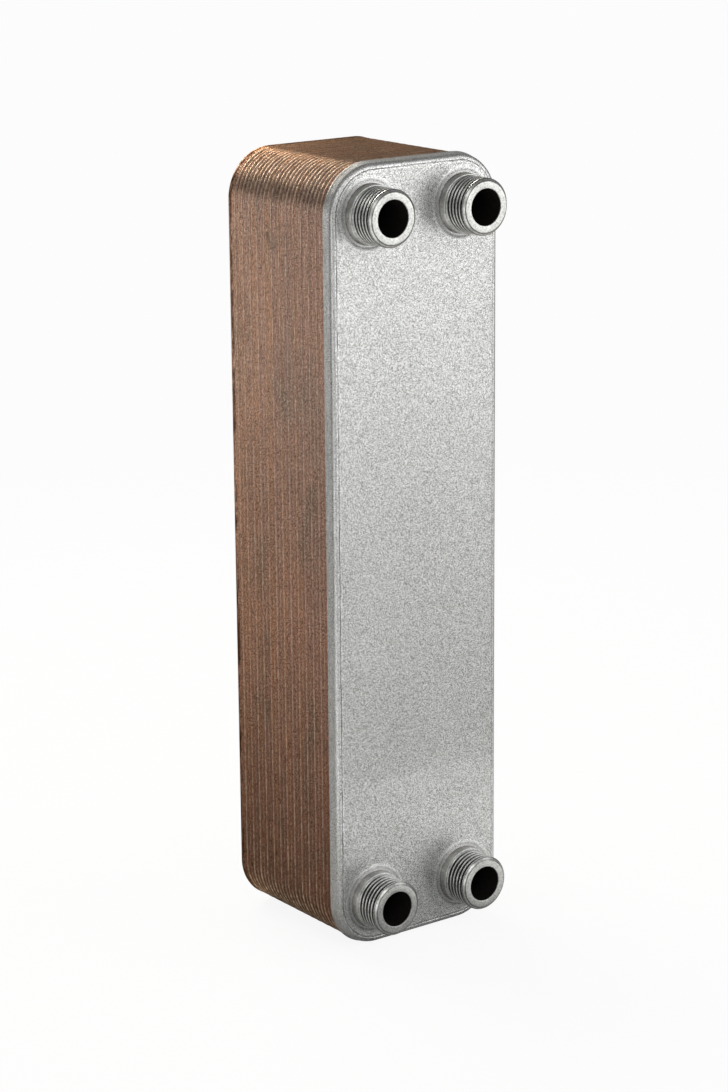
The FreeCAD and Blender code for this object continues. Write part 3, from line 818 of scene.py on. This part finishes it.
BACKGROUND_WHITE = 0.974
WORLD_LIGHT = 0.28
FLOOR_HALF_SIZE = 6.0
FLOOR_NEAR = 0.15
FLOOR_FAR = 0.75
CARD_HEIGHT = 0.002
WHITE = (1.0, 1.0, 1.0)

# Name, direction from the object, distance, width and height, power in watts, colour.
SOFTBOXES = (
    ("front_softbox", (0.60, -0.75, 0.07), 1.0, (1.1, 1.3), 8.0, WHITE),
    ("front_fill", (-0.05, -1.0, 0.0), 1.2, (0.5, 0.25), 0.5, WHITE),
    ("left_front_softbox", (-0.72, -0.66, 0.02), 0.9, (0.40, 0.25), 0.8, WHITE),
    ("top_front_softbox", (-0.25, -0.77, 0.56), 1.0, (0.5, 0.4), 1.6, WHITE),
    ("left_back_softbox", (-0.78, 0.62, 0.09), 0.8, (0.5, 0.30), 0.58, WHITE),
    ("right_back_softbox", (0.72, 0.69, 0.0), 0.9, (0.6, 0.16), 0.8, WHITE),
    ("back_top_softbox", (0.0, 0.78, 0.66), 1.1, (1.0, 0.20), 8.6, (1.0, 0.95, 0.86)),
)
# Name, middle on the floor, width and length, power in watts.
FLOOR_CARDS = (
    ("front_card", (0.15, -0.20), (0.30, 0.36), 0.045),
    ("front_foot_card", (0.085, -0.12), (0.14, 0.14), 0.024),
    ("left_front_card", (-0.25, -0.26), (0.30, 0.44), 0.40),
    ("right_back_card", (0.27, 0.27), (0.30, 0.40), 0.30),
)

# The photograph's viewpoint, found by fitting the outline and the connectors' circles.
CAMERA_AZIMUTH = math.radians(-36.664)
CAMERA_ELEVATION = math.radians(15.135)
CAMERA_ROLL = math.radians(-0.495)
CAMERA_PLACE = (-0.6548, -0.8715, 0.4424)
CAMERA_LENS = 98.68


def make_floor():
    """A large pale floor: a matt grey for light, nearly white and faintly shaded to the camera."""
    material, tree, shader = start_material("pale_floor", Roughness=0.9, Specular_IOR_Level=0.1)
    colour = ramp(tree, grain(tree, (6, 6, 6)), [(0.3, grey(0.56)), (0.7, grey(0.60))])
    tree.links.new(colour, shader.inputs["Base Color"])
    away = node(tree, "ShaderNodeVectorMath", {0: places(tree)}, operation="LENGTH").outputs["Value"]
    shading = span(tree, away, FLOOR_NEAR, FLOOR_FAR, 0.10, 0.0)
    glowing = span(tree, away, FLOOR_NEAR, FLOOR_FAR, 0.90, BACKGROUND_WHITE)
    paper = node(tree, "ShaderNodeBsdfDiffuse", {"Color": shading})
    glow = node(tree, "ShaderNodeEmission", {"Color": (*WHITE, 1.0), "Strength": glowing})
    shown = node(tree, "ShaderNodeAddShader", {0: paper.outputs[0], 1: glow.outputs[0]})
    seen = node(tree, "ShaderNodeLightPath").outputs["Is Camera Ray"]
    both = node(tree, "ShaderNodeMixShader", {0: seen, 1: shader.outputs[0], 2: shown.outputs[0]})
    tree.links.new(both.outputs[0], tree.nodes["Material Output"].inputs["Surface"])
    half = FLOOR_HALF_SIZE
    mesh = bpy.data.meshes.new("floor")
    corners = [(-half, -half, 0), (half, -half, 0), (half, half, 0), (-half, half, 0)]
    mesh.from_pydata(corners, [], [(0, 1, 2, 3)])
    mesh.materials.append(material)
    floor = bpy.data.objects.new("floor", mesh)
    floor.location.z = cad_low.z
    bpy.context.scene.collection.objects.link(floor)


def make_world():
    """White to the camera, and a softer grey as a source of light."""
    world = bpy.data.worlds.new("studio")
    bpy.context.scene.world = world
    world.use_nodes = True
    tree = world.node_tree
    tree.nodes.clear()
    lit = node(tree, "ShaderNodeBackground", {"Color": (*WHITE, 1.0), "Strength": WORLD_LIGHT})
    shown = node(tree, "ShaderNodeBackground", {"Color": (*WHITE, 1.0), "Strength": BACKGROUND_WHITE})
    seen = node(tree, "ShaderNodeLightPath").outputs["Is Camera Ray"]
    both = node(tree, "ShaderNodeMixShader", {0: seen, 1: lit.outputs[0], 2: shown.outputs[0]})
    node(tree, "ShaderNodeOutputWorld", {"Surface": both.outputs[0]})


def glowing_panel(name, size, power, colour):
    """A rectangular light that the camera doesn't see."""
    data = bpy.data.lights.new(name, "AREA")
    data.shape = "RECTANGLE"
    data.size, data.size_y = size
    data.energy = power
    data.color = colour
    light = bpy.data.objects.new(name, data)
    bpy.context.scene.collection.objects.link(light)
    light.visible_camera = False
    return light


def softbox(name, direction, distance, size, power, colour):
    """A panel that faces the middle of the object."""
    light = glowing_panel(name, size, power, colour)
    away = Vector(direction).normalized()
    light.location = Vector((0, 0, middle_z)) + away * distance
    light.rotation_euler = away.to_track_quat("Z", "Y").to_euler()


def floor_card(name, centre, size, power):
    """A panel that lies on the floor and shines upward, its length pointing at the object."""
    light = glowing_panel(name, size, power, WHITE)
    light.location = (*centre, cad_low.z + CARD_HEIGHT)
    light.rotation_euler = (math.pi, 0, math.atan2(centre[1], centre[0]) + math.pi / 2)


def make_camera():
    """The photograph's camera, to the left of the object and a little above it."""
    back = Vector((math.sin(CAMERA_AZIMUTH) * math.cos(CAMERA_ELEVATION),
                   -math.cos(CAMERA_AZIMUTH) * math.cos(CAMERA_ELEVATION),
                   math.sin(CAMERA_ELEVATION)))
    right = Vector((0, 0, 1)).cross(back).normalized()
    up = back.cross(right)
    tilted_right = right * math.cos(CAMERA_ROLL) + up * math.sin(CAMERA_ROLL)
    tilted_up = up * math.cos(CAMERA_ROLL) - right * math.sin(CAMERA_ROLL)
    data = bpy.data.cameras.new("camera")
    data.sensor_width = 36.0
    data.lens = CAMERA_LENS
    data.clip_start = 0.05
    data.clip_end = 30.0
    camera = bpy.data.objects.new("camera", data)
    bpy.context.scene.collection.objects.link(camera)
    turned = Matrix((tilted_right, tilted_up, back)).transposed().to_4x4()
    camera.matrix_world = Matrix.Translation(CAMERA_PLACE) @ turned
    bpy.context.scene.camera = camera


make_floor()
make_world()
for settings in SOFTBOXES:
    softbox(*settings)
for settings in FLOOR_CARDS:
    floor_card(*settings)
make_camera()
bpy.context.scene.view_settings.view_transform = "Standard"
